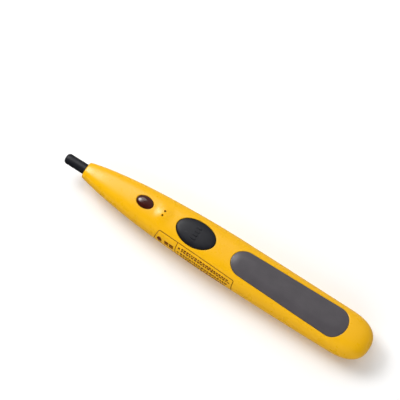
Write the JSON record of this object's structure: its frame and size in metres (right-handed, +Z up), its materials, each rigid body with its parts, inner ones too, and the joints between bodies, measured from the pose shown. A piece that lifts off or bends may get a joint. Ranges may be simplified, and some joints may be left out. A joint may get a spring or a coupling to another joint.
{
  "type": "non contact voltage tester",
  "caption": "Pen-shaped voltage detector with a black antenna probe, an oval test button, an indicator lens, a buzzer and a sliding battery cover.",
  "frame": {"origin": "centre of the bounding box's base: on the surface that the flat back rests on, halfway from the probe tip to the tail", "axes": "+X from the probe tip to the tail, +Z up through the test button, -Z out of the flat back"},
  "size_m": [0.1468, 0.0194, 0.0166],
  "materials": {
    "yellow_shell": "satin moulded plastic, strong golden yellow",
    "black_plastic": "fine matte, charcoal black",
    "grey_rubber": "soft matte, warm grey",
    "dark_lens": "polished, smoked dark red",
    "led_red": "clear red epoxy",
    "board_green": "satin solder mask over glass-epoxy board",
    "component_black": "moulded epoxy",
    "ivory_plastic": "smooth nylon",
    "capacitor_amber": "moulded epoxy",
    "cell_blue": "printed shrink sleeve",
    "contact_metal": "nickel plated",
    "antenna_brass": "drawn"
  },
  "bodies": {
    "body": {"housing": "yellow_shell", "rear_cover": "yellow_shell", "grip_pad": "grey_rubber", "led_lens": "dark_lens", "probe_sleeve": "black_plastic", "antenna_pin": "antenna_brass", "antenna_contact": "contact_metal", "circuit_board": "board_green", "detection_led": "led_red", "led_leg_1": "contact_metal", "led_leg_2": "contact_metal", "buzzer": "component_black", "switch_base": "component_black", "control_chip": "component_black", "amplifier_chip": "component_black", "boost_inductor": "component_black", "filter_capacitor": "capacitor_amber", "chip_resistor_1": "component_black", "chip_resistor_2": "component_black", "chip_resistor_3": "component_black", "battery_cell": "cell_blue", "battery_terminal": "contact_metal", "positive_contact": "contact_metal", "negative_spring": "contact_metal", "negative_plate": "contact_metal", "negative_lead": "component_black", "front_screw": "contact_metal", "rear_screw": "contact_metal", "board_screw": "contact_metal"},
    "button": {"test_button": "black_plastic"},
    "plunger": {"switch_plunger": "ivory_plastic"},
    "cover": {"battery_cover": "yellow_shell"}
  },
  "joints": [
    {"name": "button_press", "type": "slide", "parent": "body", "child": "button", "axis": [0, 0, -1], "range_m": [0, 0.0005], "stiffness_N_per_m": 400},
    {"name": "switch_travel", "type": "slide", "parent": "body", "child": "plunger", "axis": [0, 0, -1], "range_m": [0, 0.0005]},
    {"name": "battery_cover_slide", "type": "slide", "parent": "body", "child": "cover", "axis": [1, 0, 0], "range_m": [0, 0.06]}
  ],
  "couplings": [
    {"joint": "switch_travel", "follows": "button_press", "ratio": 1}
  ]
}
